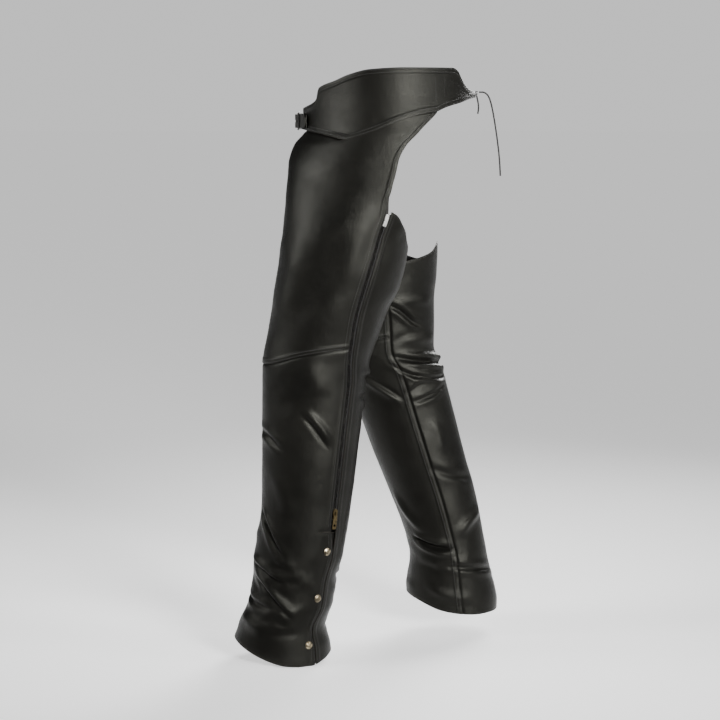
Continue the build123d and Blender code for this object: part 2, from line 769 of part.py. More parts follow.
crossing = []
for side, sign in sides.items():
    plane = eyelet_plane(side)
    inside = plane.origin - plane.z_dir * 7
    outside = plane.origin + plane.z_dir * 3.4
    near_knot = (sign * (knot_radius + 0.2), knot_centre[1], knot_centre[2])
    crossing.append(cord([tuple(inside), tuple(outside), near_knot], f"lace crossing {side}", [2.2]))
with BuildPart() as lace_crossing:
    for tube in crossing:
        add(tube)
save(lace_crossing.part, "lace_crossing")

with BuildPart() as knot:
    with Locations(knot_centre):
        Sphere(knot_radius)
save(knot.part, "lace_knot")

save(cord(lace_long, "lace end long"), "lace_end_long")
save(cord(lace_short, "lace end short"), "lace_end_short")

for side, (hinge, across, upward) in slider_places.items():
    print(side, "zip pull hinge", tuple(hinge), "axis", tuple(across), "upward", tuple(upward))
    top_hinge = hinge_point(side, flap_top)
    low_hinge = hinge_point(side, body_levels[-1][0])
    print(side, "flap hinge", tuple(top_hinge), tuple(low_hinge))
print("buckle bar", tuple(bar))
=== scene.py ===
import math
import random

import bmesh
import bpy
import numpy as np
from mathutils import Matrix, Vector, noise


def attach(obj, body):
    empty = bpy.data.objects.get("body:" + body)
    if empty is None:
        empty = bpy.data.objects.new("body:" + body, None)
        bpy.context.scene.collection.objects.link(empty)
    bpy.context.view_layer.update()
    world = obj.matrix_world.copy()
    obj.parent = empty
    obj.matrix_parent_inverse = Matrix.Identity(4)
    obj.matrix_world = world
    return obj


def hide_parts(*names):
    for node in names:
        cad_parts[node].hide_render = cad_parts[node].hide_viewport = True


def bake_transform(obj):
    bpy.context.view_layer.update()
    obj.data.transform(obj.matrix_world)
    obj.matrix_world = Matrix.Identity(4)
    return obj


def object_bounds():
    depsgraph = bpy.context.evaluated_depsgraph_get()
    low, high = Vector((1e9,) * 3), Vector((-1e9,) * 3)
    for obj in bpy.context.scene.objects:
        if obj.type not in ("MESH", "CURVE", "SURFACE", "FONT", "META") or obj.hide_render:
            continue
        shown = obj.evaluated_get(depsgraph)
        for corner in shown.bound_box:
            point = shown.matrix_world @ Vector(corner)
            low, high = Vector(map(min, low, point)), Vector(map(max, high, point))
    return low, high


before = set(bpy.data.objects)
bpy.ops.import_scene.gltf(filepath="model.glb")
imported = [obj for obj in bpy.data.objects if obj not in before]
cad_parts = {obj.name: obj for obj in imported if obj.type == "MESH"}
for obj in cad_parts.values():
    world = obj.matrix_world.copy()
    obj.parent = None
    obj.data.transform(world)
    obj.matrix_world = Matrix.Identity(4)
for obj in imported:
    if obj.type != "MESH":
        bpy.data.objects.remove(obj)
cad_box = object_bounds()

# Leather riding chaps. Sizes are millimetres, as in the CAD; METRE turns them into Blender's metres.
METRE = 0.001
sides = {"left": 1, "right": -1}



def add_object(name, data):
    thing = bpy.data.objects.new(name, data)
    bpy.context.scene.collection.objects.link(thing)
    return thing


def aim(thing, place, target):
    """Puts a camera or a lamp at a place, looking at a target."""
    thing.location = place
    thing.rotation_euler = (Vector(target) - Vector(place)).to_track_quat("-Z", "Y").to_euler()


# ---- camera, at the photo's angle ----
camera = add_object("camera", bpy.data.cameras.new("camera"))
camera.data.sensor_width = 36
camera.data.lens = 98.9
aim(camera, (3.5692, -0.0470, 0.0380), (0, -0.0470, -0.4319))
bpy.context.scene.camera = camera

# ---- materials ----
looks = {}


class Look:
    """A procedural material in the making, laid out in its object's own space."""

    def __init__(self, name):
        self.name = name
        self.material = bpy.data.materials.new(name)
        self.material.use_nodes = True
        self.tree = self.material.node_tree
        self.place = self.node("TexCoord").outputs["Object"]

    def feed(self, node, values):
        """Sets a node's inputs, or links them where the value is another node's output."""
        for key, value in values.items():
            if isinstance(value, bpy.types.NodeSocket):
                self.tree.links.new(value, node.inputs[key])
            else:
                node.inputs[key].default_value = value

    def node(self, kind, values=None):
        node = self.tree.nodes.new(f"ShaderNode{kind}")
        self.feed(node, values or {})
        return node

    def noise(self, scale, detail=4.0, roughness=0.55, stretch=None):
        place = self.place
        if stretch:
            place = self.node("Mapping", {"Scale": stretch, "Vector": place}).outputs["Vector"]
        values = {"Scale": scale, "Detail": detail, "Roughness": roughness, "Vector": place}
        return self.node("TexNoise", values).outputs["Fac"]

    def ramp(self, value, stops):
        """A colour ramp; each stop is a place and a grey or a colour."""
        ramp = self.node("ValToRGB", {"Fac": value})
        elements = ramp.color_ramp.elements
        while len(elements) < len(stops):
            elements.new(0.5)
        for element, (place, colour) in zip(elements, stops):
            element.position = place
            element.color = (*colour, 1) if hasattr(colour, "__len__") else (colour, colour, colour, 1)
        return ramp.outputs["Color"]

    def calculate(self, operation, one, other=0.0):
        node = self.node("Math", {0: one, 1: other})
        node.operation = operation
        return node.outputs["Value"]

    def bump(self, height, distance, strength, after=None):
        values = {"Distance": distance * METRE, "Strength": strength, "Height": height}
        if after:
            values["Normal"] = after
        return self.node("Bump", values).outputs["Normal"]

    def tone(self, scale, detail, dark, light, roughness=0.55):
        return self.ramp(self.noise(scale, detail, roughness), [(0.3, dark), (0.7, light)])

    def finish(self, values):
        self.feed(self.tree.nodes["Principled BSDF"], values)
        looks[self.name] = self.material
        return self.material


worn_leather = (0.05, 0.043, 0.036, 1)


def leather_look(name, dark, light):
    """Smooth grained leather: pebbled cells, fine wrinkles, uneven sheen and paler worn edges."""
    look = Look(name)
    cells = look.node("TexVoronoi", {"Vector": look.place})
    cells.feature = "DISTANCE_TO_EDGE"
    look.feed(cells, {"Scale": 620, "Randomness": 0.95})
    pebble = look.ramp(cells.outputs["Distance"], [(0.0, 0.0), (0.22, 0.8), (0.6, 1.0)])
    normal = look.bump(look.noise(26, 3, 0.5), 1.1, 0.55)
    normal = look.bump(look.noise(170, 6, 0.62, (1, 1, 0.55)), 0.42, 0.6, normal)
    normal = look.bump(pebble, 0.16, 0.7, normal)
    edges = look.node("Attribute")
    edges.attribute_name = "wear"
    tone = look.node("Mix")
    tone.data_type = "RGBA"
    look.feed(tone, {"Factor": look.ramp(edges.outputs["Fac"], [(0.3, 0.0), (1.0, 0.4)]),
                     "A": look.ramp(look.noise(9, 5), [(0.3, dark), (0.72, light)]),
                     "B": worn_leather})
    look.finish({"Normal": normal, "Base Color": tone.outputs["Result"],
                 "Roughness": look.ramp(look.noise(34, 5), [(0.25, 0.30), (0.8, 0.46)]),
                 "Specular IOR Level": 0.12, "Specular Tint": (1.0, 1.0, 0.88, 1)})


def suede_look(name, dark, light):
    """The napped flesh side of a hide."""
    look = Look(name)
    look.finish({"Normal": look.bump(look.noise(420, 6, 0.7), 0.5, 0.8),
                 "Base Color": look.tone(30, 6, dark, light, 0.65),
                 "Roughness": 0.92, "Sheen Weight": 0.25, "Sheen Roughness": 0.6,
                 "Specular IOR Level": 0.2})


def woven_look(name, dark, light, threads, roughness):
    """A plain weave of crossed threads, at a number of threads a metre."""
    look = Look(name)
    split = look.node("SeparateXYZ", {"Vector": look.place})
    waves = [look.calculate("SINE", look.calculate("MULTIPLY", split.outputs[way], threads * math.pi))
             for way in "YZ"]
    look.finish({"Normal": look.bump(look.calculate("MULTIPLY", *waves), 0.12, 0.6),
                 "Base Color": look.tone(60, 5, dark, light),
                 "Roughness": roughness, "Sheen Weight": 0.15})


def metal_look(name, clean, tarnish, low, high, scale=260):
    """Cast or plated metal with tarnish, fine scratches and uneven polish."""
    look = Look(name)
    patches = look.noise(scale, 6, 0.6)
    look.finish({"Normal": look.bump(look.noise(900, 3, 0.5, (1, 1, 0.08)), 0.05, 0.35),
                 "Base Color": look.ramp(patches, [(0.34, tarnish), (0.6, clean)]),
                 "Roughness": look.ramp(patches, [(0.3, high), (0.65, low)]), "Metallic": 1.0})


def thread_look(name, dark, light):
    """Twisted thread: fine slanted ridges."""
    look = Look(name)
    look.finish({"Normal": look.bump(look.noise(2600, 2, 0.5, (0.35, 1, 0.6)), 0.12, 0.7),
                 "Base Color": look.tone(300, 4, dark, light),
                 "Roughness": 0.55, "Sheen Weight": 0.2})


leather_look("leather", (0.0028, 0.0027, 0.0024), (0.0055, 0.0053, 0.0046))
leather_look("belt_leather", (0.006, 0.0058, 0.0052), (0.012, 0.0115, 0.010))
suede_look("inner_leather", (0.012, 0.0115, 0.0105), (0.026, 0.0245, 0.022))
woven_look("lining", (0.006, 0.006, 0.0065), (0.012, 0.012, 0.013), 900, 0.5)
woven_look("zip_tape", (0.005, 0.005, 0.005), (0.010, 0.010, 0.010), 1500, 0.75)
metal_look("zip_coil", (0.045, 0.043, 0.040), (0.010, 0.010, 0.010), 0.35, 0.5)
metal_look("zip_metal", (0.62, 0.62, 0.6), (0.34, 0.33, 0.31), 0.24, 0.42)
metal_look("aged_brass", (0.20, 0.15, 0.07), (0.05, 0.038, 0.02), 0.3, 0.55)
metal_look("snap_metal", (0.34, 0.29, 0.2), (0.08, 0.065, 0.04), 0.24, 0.5, 190)
metal_look("buckle_steel", (0.62, 0.62, 0.61), (0.30, 0.29, 0.28), 0.2, 0.38)
suede_look("lace", (0.005, 0.0048, 0.0044), (0.011, 0.0105, 0.0095))
thread_look("thread", (0.006, 0.006, 0.0055), (0.020, 0.019, 0.017))

# ---- body shape: the CAD's table of levels ----
# Height, centre across, half width, centre fore and aft and half depth of the left leg, the same
# of the right leg, and the angles of the left and right outer opening lines. Angles run round each
# leg from its outer side (0) to the back (90); the front is -90.
body_levels = [
    (98, 0, 170, 4, 152, 4, 152, 40, 40),
    (50, 0, 173, 4, 154, 4, 154, 40, 40),
    (20, 2, 175, 4, 154, 4, 154, 33, 33),
    (-15, 6, 176, 3, 154, 3, 154, 20, 20),
    (-40, 34, 150, -5, 159, -4, 158, 13.5, 13.5),
    (-65, 56, 131, -11, 160, -6, 158, 11, 10),
    (-100, 78, 112, -20, 155, -8, 153, 11.5, 8.5),
    (-130, 91, 103, -37, 141, -14, 144, 17, 10),
    (-160, 99, 98, -54, 126, -22, 133, 25.5, 13),
    (-206, 104, 95, -72, 113, -25, 123, 30, 15.5),
    (-250, 104, 94, -79, 112, -22, 118.5, 27, 20),
    (-290, 104, 90, -88, 110, -19, 114, 25.5, 25),
    (-333, 104, 86, -102, 102, -14, 105, 29, 29),
    (-375, 104, 81.5, -113, 98, -10, 102, 33, 33),
    (-418, 104, 78.5, -124, 94.5, -7, 98, 39, 39),
    (-461, 104, 76, -128, 91.5, 13, 94, 43, 43),
    (-547, 104, 72.4, -134, 87, 41, 89, 42, 42),
    (-634, 104, 68.8, -140, 82.5, 69, 84, 41, 41),
    (-690, 104, 66.5, -144, 79.5, 88, 80.5, 40.5, 40.5),
    (-765, 104, 66.5, -156, 79.5, 110, 75, 48, 48),
    (-809, 104, 67, -164, 74, 120, 73, 48, 48),
    (-853, 104, 68, -171, 76, 124, 79, 46.5, 47.5),
    (-897, 104, 69.5, -187, 79, 128, 86, 44, 46),
    (-930, 104, 71, -188.5, 88, 134, 80, 44.5, 44.5),
    (-970, 104, 72, -187, 90, 139, 78, 43, 43),
]
levels = np.array(body_levels, float)[::-1]
ACROSS, HALF_WIDTH = 1, 2
FORE_AFT = {"left": 3, "right": 5}
HALF_DEPTH = {"left": 4, "right": 6}
OPENING = {"left": 7, "right": 8}

leather = 1.8
lining_depth, lining_thickness = 4.0, 0.6
yoke_front_x, yoke_tip_x = 32, 14
inseam = 170
inseam_gap = 0.25
crotch_levels = (-268, -246)
zip_tops = {"left": -157, "right": -254}
zip_bottom, zip_straight_top = -696, -461
edge_gap, parting_length = 4.8, 40
hinge_gap = 1.2
flap_top = -716
hinge_angle = 19
flap_raise = 0.6
closed_below = 34  # over this far down, the gap beside the zip narrows to the closed flap's
underlap_depth, underlap_thickness, underlap_reach = 4.0, 1.4, 18
guard_edge, guard_depth, guard_sag, guard_thickness = 22, 6.2, 3.4, 1.2
tape_inner, tape_outer, tape_thickness = 2.9, 12, 0.6
eyelet_x, eyelet_z, eyelet_hole = 24, 46.5, 2.5
yoke_seam_angles = (31.0, 37.5)
lining_foot, lining_inset = -384, 5
lining_front, lining_back = 6, -26  # from the front edge and from the opening line
waist_lining_front_x, waist_lining_back_x = 88, 60


def smooth(at, xs, ys):
    """A smooth curve through points, without overshoot between them."""
    xs = np.asarray(xs, float)
    ys = np.asarray(ys, float)
    widths = np.diff(xs)
    slopes = np.diff(ys) / widths
    same_way = slopes[:-1] * slopes[1:] > 0
    total = np.where(same_way, slopes[:-1] + slopes[1:], 1)
    inner = np.where(same_way, 2 * slopes[:-1] * slopes[1:] / total, 0)
    tangents = np.concatenate([slopes[:1], inner, slopes[-1:]])
    at = np.clip(at, xs[0], xs[-1])
    i = np.clip(np.searchsorted(xs, at) - 1, 0, len(widths) - 1)
    t = (at - xs[i]) / widths[i]
    values = ys[i] * (1 + 2 * t) * (1 - t) ** 2 + ys[i + 1] * t * t * (3 - 2 * t)
    return values + widths[i] * (tangents[i] * t * (1 - t) ** 2 - tangents[i + 1] * t * t * (1 - t))


def column(z, which):
    return smooth(z, levels[:, 0], levels[:, which])


def surface(side, z, angle, depth=0.0):
    """Points on one side's outer surface, or a depth below it."""
    z, angle = np.broadcast_arrays(np.asarray(z, float), np.asarray(angle, float))
    turn = np.radians(angle)
    x = column(z, ACROSS) + (column(z, HALF_WIDTH) - depth) * np.cos(turn)
    y = column(z, FORE_AFT[side]) + (column(z, HALF_DEPTH[side]) - depth) * np.sin(turn)
    return np.stack([sides[side] * x, y, z], axis=-1)


def degrees_for(side, z, angle, distance):
    step = np.linalg.norm(surface(side, z, angle + 1) - surface(side, z, angle - 1), axis=-1) / 2
    return distance / step


def opening(side, z, distance=0.0):
    """The angle that lies a distance behind the outer opening line."""
    angle = column(z, OPENING[side])
    return angle + degrees_for(side, z, angle, distance)


def half_groove(z):
    """Half the width left open between the leather edges beside the zip."""
    share = np.clip((flap_top - z) / closed_below, 0, 1)
    return edge_gap + (hinge_gap / 2 - edge_gap) * share


def angle_at(z, x):
    """The front angle at which the surface stands at a distance across."""
    return -np.degrees(np.arccos(np.clip((x - column(z, ACROSS)) / column(z, HALF_WIDTH), -1, 1)))


def smoothstep(value, low, high):
    t = np.clip((value - low) / (high - low), 0, 1)
    return t * t * (3 - 2 * t)


def unit(vectors):
    return vectors / (np.linalg.norm(vectors, axis=-1, keepdims=True) + 1e-12)


def lengths(points, axis=0):
    """Lengths along a line or a grid of points, from its first point, row or column."""
    run = np.cumsum(np.linalg.norm(np.diff(points, axis=axis), axis=-1), axis=axis)
    return np.concatenate([np.zeros_like(np.take(run, [0], axis)), run], axis=axis)


def between(at, run, values):
    """Values between a line's points, at lengths along it."""
    return np.stack([np.interp(at, run, values[:, k]) for k in range(3)], axis=-1)


# ---- outlines, as in the CAD ----
seam_front = [(-190, -9), (-147, -15), (-116, -21), (-73, -31)]
seam_rear = [(-73, -31), (-30, -18), (21, 2), (55, 12), (85, 17), (125, 21)]
yoke_top = [(-190, 18), (-158, 20), (-140, 27), (-123, 38), (-119, 58), (-90, 71), (-64, 82), (-30, 90),
            (30, 93), (112, 93), (122, 88), (129, 75), (136, 63), (147, 54.5), (156, 52), (175, 51.5)]
yoke_under = [(85, 17), (103, 25), (127, 32), (145, 38.5), (156, 41), (175, 41.5)]
front_edge = [(66, -8), (56, -50), (46, -90), (36, -135), (27, -180), (19, -220), (12, -250), (2, -262)]
seat_edge = [(2, -262), (25, -252), (60, -240), (104, -223)]
back_edges = {
    "left": seat_edge + [(131, -208), (149, -192), (169, -174), (180, -159), (190, -148), (215, -119)],
    "right": seat_edge + [(129, -239), (145, -255), (160, -261), (175, -258), (192, -249), (215, -240)],
}
knee_seam = {
    "left": [(-260, -427), (-215, -422), (-151, -403), (-99, -394), (-30, -388)],
    "right": [(-140, -427), (-100, -422), (-40, -403), (10, -394), (70, -388)],
}
hems = {
    "left": [(-310, -893), (-276, -916), (-243, -934), (-206, -949), (-180, -956), (-153, -958.5),
             (-132, -958.5), (-111, -952), (-95, -941), (-70, -918)],
    "right": [(10, -872), (42, -887), (66, -896), (103, -910), (139, -916), (178, -919), (216, -919),
              (250, -916)],
}


def height_of(outline, place):
    return smooth(place, *zip(*outline))


def side_line(outline, rise=0.0):
    """A line seen from the side, as its height at each of a panel's points."""
    return lambda points: height_of(outline, points[..., 1]) + rise


def seam_line(rise=0.0):
    front, rear = side_line(seam_front, rise), side_line(seam_rear, rise)
    return lambda points: np.where(points[..., 1] < seam_rear[0][0], front(points), rear(points))


def yoke_lower(rise=0.0):
    seam, under = seam_line(rise), side_line(yoke_under, rise)
    return lambda points: np.where(points[..., 1] > yoke_under[0][0], under(points), seam(points))


def back_line(side):
    return lambda points: height_of(back_edges[side], sides[side] * points[..., 0])


def front_start(z):
    """Where the front panel starts: along its inner edge, and below that at the inseam."""
    heights, across = zip(*[(z_edge, x) for x, z_edge in reversed(front_edge)])
    edge = angle_at(z, smooth(z, heights, across))
    low = inseam - 360 + inseam_gap
    return low + (np.maximum(edge, low) - low) * smoothstep(z, *crotch_levels)


def hinge_line(side, z):
    """The angle of the flap's hinge, a straight line seen from the side, and straight up above it."""
    z = np.minimum(z, flap_top)
    heights = np.array([flap_top, levels[0, 0]], float)
    places = surface(side, heights, hinge_angle, -flap_raise)[:, 1]
    y = places[0] + (places[1] - places[0]) * (heights[0] - z) / (heights[0] - heights[1])
    reach = (y - column(z, FORE_AFT[side])) / column(z, HALF_DEPTH[side])
    return np.degrees(np.arcsin(np.clip(reach, -1, 1)))


# ---- folds ----
# One row a fold: its shape, height, half width and route, as angle and height on the leg. A roll
# swells to the left of its route and creases along it; a crease dips between two low lips.
folds = {
    "left": [
        ("ridge", 4.5, 26, [(18, -50), (30, -150), (26, -215), (8, -300)]),
        ("ridge", -3.5, 20, [(-6, -170), (-12, -250), (-24, -320), (-34, -380)]),
        ("ridge", 3.0, 18, [(-46, -190), (-50, -280), (-56, -370)]),
        ("ridge", 2.6, 15, [(-16, -410), (0, -440), (8, -480)]),
        ("roll", 5.5, 7, [(-14, -496), (4, -524), (26, -568)]),
        ("crease", 4.0, 9, [(-98, -540), (-66, -546), (-30, -572)]),
        ("ridge", -2.6, 18, [(-50, -440), (-36, -480), (-24, -510)]),
        ("ridge", 3.5, 15, [(-52, -600), (-30, -650), (-20, -700)]),
        ("crease", 5.5, 7, [(-84, -676), (-56, -708), (-34, -742), (-12, -770)]),
        ("roll", 5.0, 6.5, [(-92, -770), (-60, -780), (-34, -794), (-8, -810)]),
        ("roll", 5.5, 6.5, [(-78, -792), (-46, -812), (-14, -846), (16, -876)]),
        ("crease", 4.0, 7, [(-100, -836), (-64, -846), (-18, -856)]),
        ("ridge", 3.0, 8, [(-92, -872), (-52, -880), (-16, -892)]),
        ("roll", 5.0, 8, [(60, -438), (92, -446), (132, -440)]),
        ("crease", 5.0, 8, [(56, -474), (88, -482), (126, -470), (150, -462)]),
        ("roll", 3.5, 7, [(70, -512), (100, -506), (140, -520)]),
        ("crease", 4.5, 8, [(170, -420), (200, -436), (236, -428)]),
        ("roll", 3.5, 8, [(176, -466), (206, -482), (240, -474)]),
        ("crease", 5.0, 8, [(80, -842), (120, -850), (170, -838), (206, -846)]),
        ("roll", 4.0, 7, [(72, -796), (110, -806), (160, -796)]),
        ("roll", 3.5, 7, [(176, -800), (214, -812), (250, -800)]),
    ],
    "right": [
        ("crease", 5.5, 7, [(178, -328), (160, -342), (143, -366), (126, -380)]),
        ("ridge", 3.0, 9, [(170, -322), (146, -328), (104, -330)]),
        ("ridge", 3.0, 10, [(168, -396), (130, -400), (92, -398)]),
        ("crease", 10.5, 8, [(176, -428), (150, -437), (120, -442), (84, -450), (62, -452)]),
        ("crease", 6.5, 6, [(182, -436), (161, -463), (138, -471), (108, -474), (84, -470)]),
        ("roll", 4.5, 7, [(222, -462), (196, -490), (176, -516)]),
        ("roll", 4.0, 6, [(112, -478), (144, -477), (176, -500)]),
        ("crease", 4.0, 6, [(174, -518), (143, -504), (108, -488)]),
        ("ridge", 2.5, 10, [(150, -540), (146, -575), (150, -620)]),
        ("crease", 3.0, 12, [(178, -636), (147, -652), (100, -668)]),
        ("ridge", 5.0, 10, [(246, -684), (226, -736), (202, -768)]),
        ("crease", 10.0, 8, [(238, -772), (216, -783), (192, -791), (168, -790)]),
        ("ridge", 5.0, 9, [(168, -774), (134, -742), (92, -720)]),
        ("crease", 4.0, 8, [(200, -822), (151, -830), (90, -842)]),
        ("ridge", 4.5, 9, [(222, -858), (188, -880), (150, -890)]),
        ("roll", 4.0, 8, [(-100, -446), (-60, -452), (-20, -440)]),
        ("crease", 4.5, 8, [(-96, -482), (-54, -492), (-10, -478)]),
        ("roll", 3.5, 7, [(-70, -528), (-30, -520), (16, -540)]),
        ("crease", 5.0, 8, [(-96, -770), (-56, -782), (-16, -776)]),
        ("roll", 4.5, 7, [(-80, -806), (-40, -820), (4, -812)]),
        ("crease", 4.0, 8, [(-60, -850), (-24, -862), (10, -858)]),
        ("roll", 5.0, 8, [(52, -446), (80, -452), (100, -448)]),
    ],
}
ALONG_DEGREE = 1.4  # millimetres round the leg that a degree of a fold's route counts as
calm_reach = (12, 36)  # beside the zip, where the folds start and where they are at full height
small_folds = 26
knee_level, knee_spread = -455, 46
ankle_level, ankle_spread = -815, 52


def scatter_folds(side, seed):
    """Short low wrinkles where the leather gathers: above the ankle, and at the bent right knee."""
    draw = random.Random(seed)
    rows = []
    for i in range(small_folds):
        at_knee = i % 2 and side == "right"
        z = draw.gauss(knee_level, knee_spread) if at_knee else draw.gauss(ankle_level, ankle_spread)
        angle = draw.uniform(-180, 180)
        reach = draw.uniform(18, 40)
        slope = draw.uniform(-18, 18)
        bend = draw.uniform(-7, 7)
        route = [(angle - reach, z - slope), (angle, z + bend), (angle + reach, z + slope)]
        kind = draw.choice(["ridge", "crease", "roll"])
        rows.append((kind, draw.uniform(0.9, 2.2), draw.uniform(8, 15), route))
    return rows


for number, side in enumerate(sides):
    folds[side] += scatter_folds(side, 11 + number)


def fold_route(route):
    """Points close together along a fold's route, as millimetres round and up."""
    route = np.array(route, float) * (ALONG_DEGREE, 1)
    run = lengths(route)
    at = np.linspace(0, run[-1], 14)
    return smooth(at, run, route[:, 0]), smooth(at, run, route[:, 1])


def fold_height(side, angle, z):
    """How far the folds lift the leather at each place."""
    total = np.zeros(angle.shape)
    for kind, height, half_width, route in folds[side]:
        xs, zs = fold_route(route)
        middle = xs.mean() / ALONG_DEGREE
        near = (middle + (angle - middle + 180) % 360 - 180) * ALONG_DEGREE
        reach = half_width * 4.5
        inside = (near > xs.min() - reach) & (near < xs.max() + reach)
        inside &= (z > zs.min() - reach) & (z < zs.max() + reach)
        if not inside.any():
            continue
        dx, dz = np.diff(xs)[:, None], np.diff(zs)[:, None]
        gap_x, gap_z = near[inside] - xs[:-1, None], z[inside] - zs[:-1, None]
        share = np.clip((gap_x * dx + gap_z * dz) / (dx ** 2 + dz ** 2), 0, 1)
        gap_x, gap_z = gap_x - share * dx, gap_z - share * dz
        distance = np.hypot(gap_x, gap_z)
        nearest = distance.argmin(axis=0), np.arange(distance.shape[1])
        across = (np.sign(dx * gap_z - dz * gap_x) * distance)[nearest]
        along = (nearest[0] + share[nearest]) / len(dx)
        q = across / half_width
        taper = smoothstep(along, 0, 0.35) * smoothstep(1 - along, 0, 0.35)
        if kind == "ridge":
            shape = np.exp(-q ** 2)
        elif kind == "roll":
            shape = np.exp(-((q - 0.8) / 0.95) ** 2) - 0.75 * np.exp(-((q + 0.45) / 0.5) ** 2)
        else:
            lips = np.exp(-((np.abs(q) - 1.15) / 0.75) ** 2)
            shape = 0.45 * lips - np.exp(-(q / 0.55) ** 2)
        total[inside] += height * taper * shape
    return total


hide_waves = [(1.5, 11), (0.45, 31), (0.12, 90)]  # heights, and waves a metre


def hide_unevenness(points):
    """Slow undulation of the hide and finer puckering, the same wherever pieces meet."""
    values = []
    for place in map(Vector, points.reshape(-1, 3) * METRE):
        values.append(sum(height * noise.noise(place * scale) for height, scale in hide_waves))
    return np.array(values).reshape(points.shape[:-1])


def above_zip(side):
    """How far below the belt the leather edges start to part for the zip."""
    return -zip_tops[side] - 46


def lift(side, z, angle, points):
    """The folds and the hide's unevenness, calmer beside the zip, the closure and the waist."""
    beside = 1 - smoothstep(np.abs(angle - column(z, OPENING[side])) * ALONG_DEGREE, *calm_reach)
    calm = 1 - beside * smoothstep(-z, above_zip(side), above_zip(side) + 30)
    below_waist = smoothstep(-z, -20, 60)
    uneven = hide_unevenness(points)
    free = fold_height(side, angle, z) + uneven * (0.35 + 0.65 * below_waist)
    return calm * free + (1 - calm) * uneven * 0.12


# ---- sheets ----
edge_rows = np.array([0, 0.7, 1.6, 2.5, 3.4, 5.4, 7.1, 8.0, 8.9, 10.2, 12.5])
first_stitch, second_stitch = 3, 7
stitch_rows = {"welt": (first_stitch, second_stitch), "hem": (first_stitch,)}
lap, tuck_depth = 7, 2.1
cell = 3.8


def spaced(start, end, count, edge_start, edge_end):
    """Positions from start to end, closer together beside an edge."""
    length = end - start
    shrink = min(1, abs(length) / (2.5 * edge_rows[-1]))
    rows = edge_rows * shrink * np.sign(length)
    lead = rows if edge_start else rows[:1]
    tail = length - (rows if edge_end else rows[:1])[::-1]
    middle = np.linspace(lead[-1], tail[0], count + 1)[1:-1]
    return start + np.concatenate([lead, middle, tail])


def chained(stretches):
    """Neighbouring stretches of positions as one row, with each shared end once."""
    return np.concatenate([stretches[0]] + [stretch[1:] for stretch in stretches[1:]])


def grid(side, high, low, lines, top, bottom, splits=(), edged=((True, True),)):
    """Angles and heights of a panel's grid: between angle lines, a top line and a bottom line."""
    fine = np.linspace(high, low, 360)
    turns = np.array([line(fine) for line in lines])
    strips = []
    for first, last, (one, other) in zip(turns, turns[1:], edged):
        turn = first[:, None] + (last - first)[:, None] * np.linspace(0, 1, 120)
        run = lengths(surface(side, fine[:, None], turn), 1)
        strips.append((turn, run, max(3, int(run[:, -1].max() / cell)), one, other))
    placed = np.array([chained([np.interp(spaced(0, run[k, -1], count, one, other), run[k], turn[k])
                                for turn, run, count, one, other in strips])
                       for k in range(len(fine))]).T
    points = surface(side, fine[None, :], placed)
    over, under = points[..., 2] - top(points), points[..., 2] - bottom(points)
    ends = [(crossing(fine, one, high), crossing(fine, other, low)) for one, other in zip(over, under)]
    marks = [max(upper for upper, _ in ends), *splits, min(lower for _, lower in ends)]
    row_counts = [max(3, int((one - other) / cell)) for one, other in zip(marks, marks[1:])]
    z = np.array([chained([spaced(one, other, count, True, True) for one, other, count
                           in zip([upper, *splits], [*splits, lower], row_counts)])
                  for upper, lower in ends])
    angle = np.array([np.interp(-z[i], -fine, placed[i]) for i in range(len(z))])
    return angle, z, strips[0][2], row_counts[0]


def crossing(fine, height, otherwise):
    """The height at which a panel's column crosses an outline."""
    signs = height > 0
    changes = np.nonzero(signs[:-1] & ~signs[1:])[0]
    if not len(changes):
        return otherwise
    k = changes[-1] if otherwise < fine.mean() else changes[0]
    share = height[k] / (height[k] - height[k + 1])
    return fine[k] + share * (fine[k + 1] - fine[k])


def outward_normals(points, centre):
    """Unit normals of a grid of points, away from the leg's centre line."""
    normals = unit(np.cross(np.gradient(points, axis=0), np.gradient(points, axis=1)))
    facing = (normals[..., :2] * (points[..., :2] - centre)).sum(axis=-1)
    return normals * np.where(np.median(facing) < 0, -1, 1)


def centre_line(side, z):
    return np.stack([sides[side] * column(z, ACROSS), column(z, FORE_AFT[side])], axis=-1)


def welt(distance):
    """A lapped and topstitched edge: raised to behind the second row of stitches."""
    raised = 0.8 * (1 - smoothstep(distance, 8.6, 10.6))
    grooves = sum(0.24 * np.exp(-((distance - edge_rows[k]) / 0.9) ** 2) for k in stitch_rows["welt"])
    return raised - grooves - 0.5 * (1 - smoothstep(distance, 0, 1.4))


def tuck(distance):
    """An edge that goes under its neighbour."""
    return -tuck_depth * (1 - smoothstep(distance, lap, lap + 5))


def hem(distance):
    """A plain edge with one row of stitches."""
    groove = 0.35 * np.exp(-((distance - edge_rows[first_stitch]) / 0.9) ** 2)
    return -groove - 0.4 * (1 - smoothstep(distance, 0, 1.2))


edge_shapes = {"welt": welt, "tuck": tuck, "hem": hem}


def new_object(name, vertices, faces, materials, slots=None):
    mesh = bpy.data.meshes.new(name)
    mesh.from_pydata((np.asarray(vertices) * METRE).tolist(), [], faces)
    mesh.polygons.foreach_set("use_smooth", [True] * len(mesh.polygons))
    for material in materials:
        mesh.materials.append(looks[material])
    if slots is not None:
        mesh.polygons.foreach_set("material_index", slots)
    mesh.update()
    return add_object(name, mesh)


